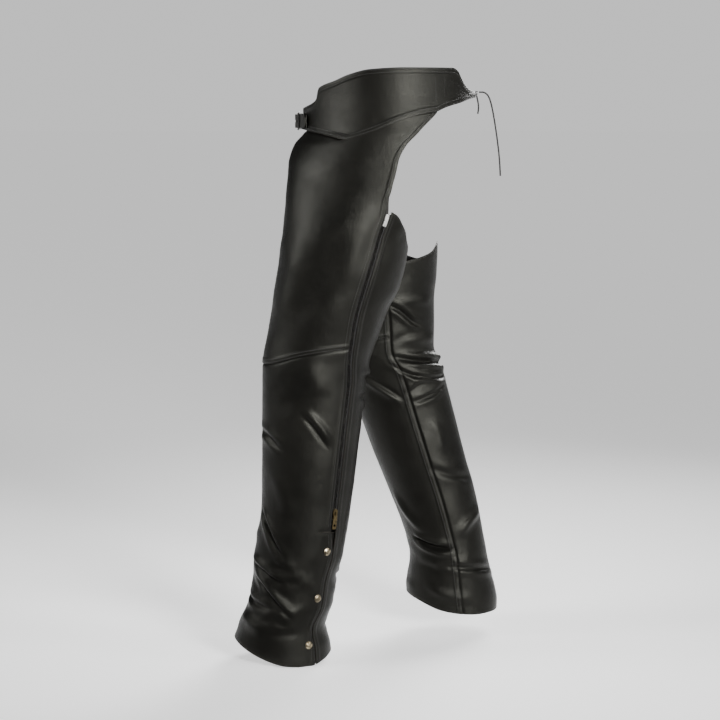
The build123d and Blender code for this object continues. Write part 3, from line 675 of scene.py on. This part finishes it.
def sheet_mesh(name, points, normals, kept, thickness, materials, rounding, joined=None):
    """A closed sheet with rounded edges over the kept cells of a grid of points.

    Where joined is true the edge stays square, because another sheet goes on from it.
    """
    rows, columns = points.shape[:2]
    used = np.zeros((rows, columns), bool)
    for i, j in ((0, 0), (1, 0), (1, 1), (0, 1)):
        used[i:rows - 1 + i, j:columns - 1 + j] |= kept
    count = used.sum()
    index = np.full((rows, columns), -1)
    index[used] = np.arange(count)
    quads = np.stack([index[:-1, :-1], index[:-1, 1:], index[1:, 1:], index[1:, :-1]], axis=-1)[kept]
    outer, flat_normals = points[used], normals[used]
    facing = np.cross(outer[quads[:, 1]] - outer[quads[:, 0]], outer[quads[:, 3]] - outer[quads[:, 0]])
    if (facing * flat_normals[quads[:, 0]]).sum(axis=1).mean() < 0:
        quads = quads[:, ::-1]
    directed = np.concatenate([quads[:, [k, (k + 1) % 4]] for k in range(4)])
    code, back = directed @ (count, 1), directed @ (1, count)
    border = directed[~np.isin(code, back)]
    rim = np.unique(border)
    total, share = np.zeros((count, 3)), np.zeros((count, 1))
    for k in range(4):
        np.add.at(total, quads[:, k], outer[quads].mean(axis=1))
        np.add.at(share, quads[:, k], 1)
    away = outer[rim] - total[rim] / share[rim]
    away = unit(away - (away * flat_normals[rim]).sum(axis=1, keepdims=True) * flat_normals[rim])
    joined = np.zeros(count, bool) if joined is None else joined[used]
    soften = np.where(joined[rim], 0, rounding)
    inner = outer - flat_normals * thickness
    middle = outer[rim] - flat_normals[rim] * thickness / 2
    for layer in (outer, inner):
        layer[rim] -= away * soften[:, None]
    rim_index = np.full(count, -1)
    rim_index[rim] = 2 * count + np.arange(len(rim))
    a, b = border.T
    upper_wall = np.stack([b, a, rim_index[a], rim_index[b]], axis=1)
    lower_wall = np.stack([rim_index[b], rim_index[a], a + count, b + count], axis=1)
    faces = np.concatenate([quads, upper_wall, lower_wall, quads[:, ::-1] + count])
    slots = np.zeros(len(faces), int)
    slots[len(quads) + 2 * len(border):] = len(materials) - 1
    piece = new_object(name, np.concatenate([outer, inner, middle]), faces.tolist(), materials, slots)
    wear = np.zeros(2 * count + len(rim))
    wear[rim] = wear[2 * count:] = soften / rounding
    piece.data.attributes.new("wear", "FLOAT", "POINT").data.foreach_set("value", wear)
    hard = set(map(tuple, np.sort(border[joined[a] & joined[b]], axis=1).tolist()))
    for edge in piece.data.edges if hard else ():
        if tuple(sorted(edge.vertices)) in hard:
            edge.use_edge_sharp = True
    return piece


stitch_pitch, stitch_half, stitch_radius, stitch_sink = 3.4, 1.25, 0.3, 0.05
stitch_profile = np.array([(-1, -0.35, 0.6), (-0.62, 0.08, 1), (0, 0.24, 1), (0.62, 0.08, 1),
                           (1, -0.35, 0.6)])  # shares of its length, heights, shares of its radius
stitch_sides = 6
stitch_margin = 4  # grid lines left free at the ends of a row


def stitch_mesh(name, paths):
    """Rows of stitches along paths of points and normals."""
    offsets, heights, sizes = stitch_profile.T
    offsets, heights, sizes = offsets * stitch_half, heights - stitch_sink, sizes * stitch_radius
    round_steps = np.linspace(0, 2 * math.pi, stitch_sides, endpoint=False)
    rings = []
    faces = []
    for points, normals in paths:
        run = lengths(points)
        if run[-1] < 3 * stitch_pitch:
            continue
        for place in np.arange(stitch_pitch, run[-1] - stitch_pitch, stitch_pitch):
            spots, normal = between(place + offsets, run, points), unit(between(place, run, normals))
            side_way = np.cross(unit(spots[-1] - spots[0]), normal)
            base = len(rings) * stitch_sides
            for spot, height, size in zip(spots, heights, sizes):
                rings.append([spot + normal * (height + size * math.sin(t)) + side_way * size * math.cos(t)
                              for t in round_steps])
            faces += tube_faces(len(spots), stitch_sides, base)
    return new_object(name, np.concatenate(rings), faces, ["thread"])


def tube_faces(stops, count, base=0):
    """Faces of a closed tube: rings of vertices one after another, and its two ends."""
    faces = []
    for i in range(stops - 1):
        for k in range(count):
            one, other = base + i * count + k, base + i * count + (k + 1) % count
            faces.append((one, other, other + count, one + count))
    first = tuple(base + k for k in range(count))
    last = tuple(base + (stops - 1) * count + k for k in range(count))
    return faces + [first[::-1], last]


def grid_paths(points, normals, edges):
    """The grid rows and columns that run under each edge's stitches."""
    inner = slice(stitch_margin, -stitch_margin)
    paths = []
    for which, kind in edges.items():
        for k in stitch_rows.get(kind, ()):
            pick = {"start": (k, inner), "end": (-1 - k, inner), "top": (inner, k),
                    "bottom": (inner, -1 - k)}[which]
            paths.append((points[pick], normals[pick]))
    return paths


def panel_points(side, angle, z, edges, depth=0.0):
    """A panel's outer points and normals, with folds and shaped edges."""
    flat = surface(side, z, angle)
    centre = centre_line(side, z)
    around, down = lengths(flat), lengths(flat, 1)
    shape = lift(side, z, angle, flat)
    for which, distance in (("start", around), ("end", around[-1:] - around),
                            ("top", down), ("bottom", down[:, -1:] - down)):
        if which in edges:
            shape = shape + edge_shapes[edges[which]](distance)
    points = flat + outward_normals(flat, centre) * shape[..., None]
    normals = outward_normals(points, centre)
    return points - normals * depth, normals


def whole(z):
    """Every cell of a panel's grid."""
    return np.ones((z.shape[0] - 1, z.shape[1] - 1), bool)


def cut_size(side, angle, z, kept):
    """Width, length and flat area of a panel's cut, in metres."""
    flat = surface(side, z, angle)
    around = np.linalg.norm(np.diff(flat, axis=0), axis=2)[:, :-1] * kept
    down = np.linalg.norm(np.diff(flat, axis=1), axis=2)[:-1] * kept
    a, b, c, d = flat[:-1, :-1], flat[1:, :-1], flat[1:, 1:], flat[:-1, 1:]
    one, other = np.cross(b - a, d - a), np.cross(b - c, d - c)
    areas = (np.linalg.norm(one, axis=2) + np.linalg.norm(other, axis=2)) / 2
    area = areas[kept].sum() * METRE ** 2
    return around.sum(axis=0).max() * METRE, down.sum(axis=1).max() * METRE, area


def declare_sheet(size):
    width, length, area = size
    width, length = round(max(width, area / length), 3), round(length, 3)


# ---- leather panels ----
hide = ["leather", "inner_leather"]
edge_rounding, thin_rounding = 0.45, 0.15


def on_root(piece, node):
    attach(piece, "root")
    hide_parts(node)


def add_stitches(name, paths):
    stitches = stitch_mesh(name, paths)
    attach(stitches, "root")
    return stitches


def make_panel(side, part, node, shape, edges, opened=None, seams=None):
    """A stitched leather panel over a grid; opened says which of its cells to leave out."""
    angle, z, _, _ = grid(side, *shape)
    points, normals = panel_points(side, angle, z, edges)
    kept = whole(z) & ~opened(points) if opened else whole(z)
    piece = sheet_mesh(f"{part}_leather_{side}", points, normals, kept, leather, hide, edge_rounding)
    on_root(piece, f"{node}_{side}")
    paths = grid_paths(points, normals, edges)
    for turn in seams or ():
        k = int(np.argmin(np.abs(angle[:, z.shape[1] // 2] - turn)))
        paths.append((points[k, 12:-12], normals[k, 12:-12]))
    stitches = add_stitches(f"{part}_stitches_{side}", paths)
    declare_sheet(cut_size(side, angle, z, kept))


def make_backing(side, name, node, shape, rests_on, look, depth, thickness, edges, rounding):
    """A thin sheet behind a panel: a lining or the closure's underlap."""
    angle, z, _, _ = grid(side, *shape)
    points, normals = panel_points(side, angle, z, edges, depth)
    piece = sheet_mesh(f"{name}_{side}", points, normals, whole(z), thickness, [look], rounding)
    on_root(piece, f"{node}_{side}")
    declare_sheet(cut_size(side, angle, z, whole(z)))


def level_line(z):
    return lambda points: 0 * points[..., 2] + z


def make_yoke(side):
    """The waist yoke, with its pointed back, its eyelet and two rows of stitches on its side."""
    def eyelet(points):
        middles = (points[1:, 1:] + points[:-1, :-1]) / 2
        gaps = np.hypot(middles[..., 0] - sides[side] * eyelet_x, middles[..., 2] - eyelet_z)
        return (gaps < eyelet_hole) & (middles[..., 1] > 100)

    lines = [lambda z: angle_at(z, yoke_front_x), lambda z: -angle_at(z, yoke_tip_x)]
    make_panel(side, "yoke", "yoke", (97, -39, lines, side_line(yoke_top), yoke_lower()),
               {"top": "welt", "bottom": "welt", "start": "hem", "end": "hem"},
               eyelet, yoke_seam_angles)


def make_thigh(side):
    parting = above_zip(side)
    lines = [lambda z: front_start(z),
             lambda z: opening(side, z, -edge_gap * smoothstep(-z, parting, parting + parting_length))]
    make_panel(side, "thigh", "thigh_panel", (30, -440, lines, seam_line(lap), side_line(knee_seam[side])),
               {"top": "tuck", "bottom": "welt", "start": "welt", "end": "welt"})


def make_linings(side):
    lines = [lambda z: front_start(z) + degrees_for(side, z, front_start(z), lining_front),
             lambda z: opening(side, z, lining_back)]
    lined = ("lining", lining_depth, lining_thickness, {}, thin_rounding)
    make_backing(side, "lining", "thigh_lining",
                 (10, -386, lines, seam_line(-4), level_line(lining_foot)), "thigh_leather", *lined)
    lines = [lambda z: angle_at(z, waist_lining_front_x), lambda z: -angle_at(z, waist_lining_back_x)]
    make_backing(side, "waist_lining", "yoke_lining",
                 (95, -36, lines, side_line(yoke_top, -lining_inset), yoke_lower(lining_inset)),
                 "yoke_leather", *lined)


def make_shin(side):
    """The shin panel and the ankle flap: one hide, cut across above the flap."""
    lines = [lambda z: inseam - 360 + inseam_gap + 0 * z,
             lambda z: hinge_line(side, z),
             lambda z: opening(side, z, -half_groove(z))]
    angle, z, count, row_count = grid(side, -372, -969, lines, side_line(knee_seam[side], lap),
                                      side_line(hems[side]), (flap_top,), ((True, False), (False, True)))
    points, normals = panel_points(side, angle, z,
                                   {"top": "tuck", "bottom": "hem", "start": "welt", "end": "welt"})
    hinge_column = len(edge_rows) + count - 1
    cut_row = 2 * len(edge_rows) + row_count - 2
    kept = whole(z)
    kept[hinge_column:, cut_row:] = False
    on_hinge = np.zeros(z.shape, bool)
    on_hinge[hinge_column, cut_row:] = True
    behind = np.arange(z.shape[0])[:, None] >= hinge_column
    points = points + normals * np.where(behind, hem(np.abs(z - flap_top)) * 0.8, 0)[..., None]
    piece = sheet_mesh(f"shin_leather_{side}", points, normals, kept, leather, hide, edge_rounding, on_hinge)
    on_root(piece, f"shin_panel_{side}")
    paths = grid_paths(points[:hinge_column], normals[:hinge_column], {"start": "welt", "bottom": "hem"})
    upper = slice(stitch_margin, cut_row - stitch_margin)
    low = slice(cut_row + stitch_margin, -stitch_margin)
    beside_zip = (-1 - first_stitch, -1 - second_stitch)
    paths += [(points[k, upper], normals[k, upper]) for k in beside_zip]
    stitches = add_stitches(f"shin_stitches_{side}", paths)
    declare_sheet(cut_size(side, angle, z, kept))

    flap = sheet_mesh(f"flap_leather_{side}", points, normals, ~kept, leather, hide, edge_rounding, on_hinge)
    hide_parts(f"ankle_flap_{side}")
    hem_row = (slice(hinge_column + 1, -6), -1 - first_stitch)
    paths = [(points[k, low], normals[k, low]) for k in beside_zip]
    stitches = stitch_mesh(f"flap_stitches_{side}", paths + [(points[hem_row], normals[hem_row])])
    hinge_points = points[hinge_column, cut_row:]
    start = hinge_points.mean(axis=0)
    along = hinge_points[-1] - hinge_points[0]
    across = points[hinge_column + 2, cut_row:].mean(axis=0) - start
    across -= along * (across @ along) / (along @ along)
    for soft in (flap, stitches):
        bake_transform(soft)
    declare_sheet(cut_size(side, angle, z, ~kept))


def make_back(side):
    lines = [lambda z: opening(side, z, half_groove(z)),
             lambda z: inseam + degrees_for(side, z, inseam + 0 * z, lap)]
    make_panel(side, "back", "back_panel", (-130, -969, lines, back_line(side), side_line(hems[side])),
               {"top": "hem", "bottom": "hem", "start": "welt", "end": "tuck"})


def make_underlap(side):
    """The strip behind the ankle closure that carries the snaps' lower halves."""
    lines = [lambda z: 0 * z + hinge_angle + 4, lambda z: opening(side, z, underlap_reach)]
    make_backing(side, "underlap_leather", "ankle_underlap",
                 (flap_top - 3, -965, lines, level_line(flap_top - 3.1), side_line(hems[side], 1.2)),
                 "back_leather", "leather", underlap_depth, underlap_thickness, {"end": "hem"}, 0.3)


# ---- zips ----
def zip_line(side, first_drop=0.0, last_rise=0.0, step=2.0):
    """Points down the zip with its ways back across the opening and outwards."""
    def on_opening(z, turn=0):
        return surface(side, z, opening(side, z) + turn)

    upper = on_opening(np.arange(zip_tops[side], zip_straight_top, -step))
    first, last = on_opening([zip_straight_top, zip_bottom])
    count = int(np.linalg.norm(last - first) / step)
    points = np.concatenate([upper, first + (last - first) * np.linspace(0, 1, count)[:, None]])
    across = on_opening(points[:, 2], 1) - on_opening(points[:, 2], -1)
    run = lengths(points)
    keep = (run >= first_drop) & (run <= run[-1] - last_rise)
    along = unit(np.gradient(points, axis=0))
    across = unit(across - (across * along).sum(axis=1, keepdims=True) * along)
    outward = np.cross(along, across)
    middle = centre_line(side, points[:, 2])
    outward *= np.sign(((points[:, :2] - middle) * outward[:, :2]).sum(axis=1).mean())
    return points[keep], across[keep], outward[keep]


def zip_strip(name, side, corners, look):
    """A strip with one cross-section down the zip; corners are across and depth."""
    points, across, outward = zip_line(side, step=3.0)
    rings = np.stack([points + across * across_by - outward * depth for across_by, depth in corners], axis=1)
    faces = tube_faces(*rings.shape[:2])
    return outward_faces(new_object(name, rings.reshape(-1, 3), faces, [look]))


def outward_faces(piece):
    """Turns a closed piece's faces outwards."""
    work = bmesh.new()
    work.from_mesh(piece.data)
    bmesh.ops.recalc_face_normals(work, faces=work.faces)
    work.to_mesh(piece.data)
    work.free()
    return piece


def flat_strip(inner, outer, inner_depth, outer_depth, thickness, steps=6):
    """The upper and lower halves of a strip's rounded cross-section, between two distances across."""
    top = []
    low = []
    for i in range(steps + 1):
        share = i / steps
        across, depth = inner + (outer - inner) * share, inner_depth + (outer_depth - inner_depth) * share
        ease = 0.25 * thickness if i in (0, steps) else 0
        top.append((across, depth + ease))
        low.append((across, depth + thickness - ease))
    return top, low[::-1]


coil_pitch, coil_wire = 1.7, 0.43
coil_steps, coil_sides = 8, 5
coil_centre, coil_half, coil_deep, coil_level = 1.62, 1.5, 0.95, 1.75
coil_drop, coil_rise = 22, 6  # its ends, below the top of the zip and above its foot


def make_coil(name, side, way):
    """One side of the zip: a nylon coil wound beside its fellow, half a turn behind it."""
    line = zip_line(side, coil_drop, coil_rise, 0.5)
    run = lengths(line[0])
    at = np.linspace(0, run[-1], int(run[-1] / coil_pitch * coil_steps))
    phase = (at / coil_pitch * 2 * math.pi + (math.pi if way > 0 else 0))[:, None]
    place, side_way, out = (between(at, run, values) for values in line)
    centre = place + side_way * (way * coil_centre + coil_half * np.cos(phase) * -way)
    centre = centre - out * (coil_level + coil_deep * np.sin(phase))
    along = unit(np.gradient(centre, axis=0))
    side_way = unit(np.cross(along, [0.31, 0.17, 0.93]))
    up_way = np.cross(side_way, along)
    turns = np.linspace(0, 2 * math.pi, coil_sides, endpoint=False)[:, None]
    around = side_way[:, None] * np.cos(turns) + up_way[:, None] * np.sin(turns)
    rings = centre[:, None] + coil_wire * around
    faces = [face[:1] + face[:0:-1] for face in tube_faces(len(centre), coil_sides)]
    return new_object(name, rings.reshape(-1, 3), faces, ["zip_coil"])


def make_zip(side):
    front_top, front_low = flat_strip(-guard_edge, 0, guard_depth + guard_sag, guard_depth, guard_thickness)
    back_top, back_low = flat_strip(0, guard_edge, guard_depth, guard_depth + guard_sag, guard_thickness)
    corners = front_top + back_top[1:] + back_low[:-1] + front_low
    guard = zip_strip(f"guard_leather_{side}", side, corners, "leather")
    on_root(guard, f"zip_guard_{side}")
    length = round(lengths(zip_line(side)[0])[-1] * METRE, 3)
    for row, way in (("front", -1), ("back", 1)):
        top, low = flat_strip(way * tape_inner, way * tape_outer, 2.6, 3.8, tape_thickness)
        tape = zip_strip(f"tape_{row}_{side}", side, top + low, "zip_tape")
        on_root(tape, f"zip_tape_{row}_{side}")
        coil = make_coil(f"coil_{row}_{side}", side, way)
        on_root(coil, f"zip_chain_{row}_{side}")


# ---- lace ----
lace_diameter = 3.0
knot_centre = (0, 161, 49.5)
knot_size = 1.15
lace_long = [
    (0, 165.9, 51), (1, 171.8, 51.6), (1.5, 177.7, 49.7), (2, 183.4, 43.4), (2.5, 187.8, 30.2),
    (3, 192, 10.5), (3, 196.5, -16), (2, 200.8, -45), (1, 204, -73), (0, 205.3, -98),
]
lace_short = [
    (0, 161.6, 44.6), (-0.6, 163.4, 37.4), (-0.9, 165, 29.2), (-0.7, 165.3, 20.8), (0, 163.9, 12.7),
]


def lace_curve(name, node, route, closed=False):
    data = bpy.data.curves.new(name, "CURVE")
    data.dimensions = "3D"
    data.bevel_depth = lace_diameter / 2 * METRE
    data.bevel_resolution = 4
    data.resolution_u = 10
    data.use_fill_caps = True
    spline = data.splines.new("NURBS")
    spline.points.add(len(route) - 1)
    for point, place in zip(spline.points, route):
        point.co = (*(value * METRE for value in place), 1)
    spline.order_u = 3
    spline.use_endpoint_u = not closed
    spline.use_cyclic_u = closed
    data.materials.append(looks["lace"])
    piece = add_object(name, data)
    on_root(piece, node)
    return piece


def make_lace():
    for name, node, route, length in (("lace_long", "lace_end_long", lace_long, 0.160),
                                      ("lace_short", "lace_end_short", lace_short, 0.032)):
        piece = lace_curve(name, node, route)


def make_knot():
    """The lace's knot: one turn of a three-lobed overhand knot."""
    turn = np.linspace(0, 2 * math.pi, 25)[:-1]
    lobes = np.stack([np.sin(turn) + 2 * np.sin(2 * turn), -np.sin(3 * turn),
                      np.cos(turn) - 2 * np.cos(2 * turn)], axis=1)
    route = np.array(knot_centre) + lobes * knot_size
    lace_curve("lace_knot_tied", "lace_knot", route.tolist(), closed=True)


make_lace()
make_knot()
for side in sides:
    make_yoke(side)
    make_thigh(side)
    make_linings(side)
    make_shin(side)
    make_back(side)
    make_underlap(side)
    make_zip(side)

# ---- carried-over hardware ----
look_nodes = {
    "belt_leather": ["billet_strap", "buckle_strap", "strap_keeper"],
    "buckle_steel": ["buckle_frame", "buckle_prong"],
    "lace": ["lace_crossing"],
    "snap_metal": [f"snap_{part}_{side}" for side in sides for part in ("caps", "studs")],
    "zip_metal": [f"zip_end_box_{side}" for side in sides],
    "aged_brass": ["belt_rivets", "back_eyelets"]
                  + [f"zip_{part}_{side}" for side in sides for part in ("stop", "slider", "pull")],
}
for node, look in [(node, look) for look, nodes in look_nodes.items() for node in nodes]:
    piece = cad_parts[node]
    piece.data.materials.clear()
    piece.data.materials.append(looks[look])
    eased = piece.modifiers.new("eased edges", "BEVEL")
    eased.width = (0.5 if look == "belt_leather" else 0.2) * METRE
    eased.segments = 2
    eased.limit_method = "ANGLE"
    eased.angle_limit = math.radians(40)
    eased.use_clamp_overlap = True

# ---- studio ----
floor_level = cad_box[0].z
floor_reach = 60


def level_card(name, near, far, half_width, height, material):
    """A level card between two distances towards the camera."""
    mesh = bpy.data.meshes.new(name)
    corners = [(near, -half_width), (far, -half_width), (far, half_width), (near, half_width)]
    mesh.from_pydata([(*corner, height) for corner in corners], [], [(0, 1, 2, 3)])
    mesh.materials.append(material)
    card = add_object(name, mesh)
    return card


paper = Look("paper").finish({"Base Color": (0.9, 0.9, 0.9, 1), "Roughness": 0.9, "Specular IOR Level": 0.0,
                              "Emission Color": (1, 1, 1, 1), "Emission Strength": 0.72})
level_card("floor", -floor_reach, floor_reach, floor_reach, floor_level, paper)
# Only reflections see this card: it keeps the floor's glare off the lower legs.
black = Look("black card").finish({"Base Color": (0.01, 0.01, 0.01, 1), "Roughness": 1.0})
card = level_card("black card", 0.2, 6, 3, floor_level + 0.01, black)
card.visible_camera = card.visible_shadow = card.visible_diffuse = False


def area_light(name, location, target, power, width, height, spread):
    data = bpy.data.lights.new(name, "AREA")
    data.energy = power
    data.shape = "RECTANGLE"
    data.size = width
    data.size_y = height
    data.spread = math.radians(spread)
    aim(add_object(name, data), location, target)


area_light("key", (2.75, 1.5, 0.2), (0, 0, -0.36), 21, 1.2, 0.9, 42)
area_light("back_key", (1.1, 2.7, 0.8), (0, 0, 0), 3.5, 0.6, 0.8, 50)
area_light("rim", (0.6, -2.7, 0.8), (0, 0, -0.05), 12, 1.4, 1.2, 55)
area_light("far_side", (-2.6, 1.2, 1.0), (0, 0, -0.4), 26, 1.8, 1.6, 60)

# The world is dim as a light and pale as a backdrop.
world = bpy.data.worlds.new("studio")
world.use_nodes = True
nodes, link = world.node_tree.nodes, world.node_tree.links.new
dim, bright = nodes["Background"], nodes.new("ShaderNodeBackground")
for background, strength in ((dim, 0.05), (bright, 0.78)):
    background.inputs["Color"].default_value = (1, 1, 1, 1)
    background.inputs["Strength"].default_value = strength
both = nodes.new("ShaderNodeMixShader")
link(nodes.new("ShaderNodeLightPath").outputs["Is Camera Ray"], both.inputs["Fac"])
link(dim.outputs["Background"], both.inputs[1])
link(bright.outputs["Background"], both.inputs[2])
link(both.outputs["Shader"], nodes["World Output"].inputs["Surface"])
bpy.context.scene.world = world
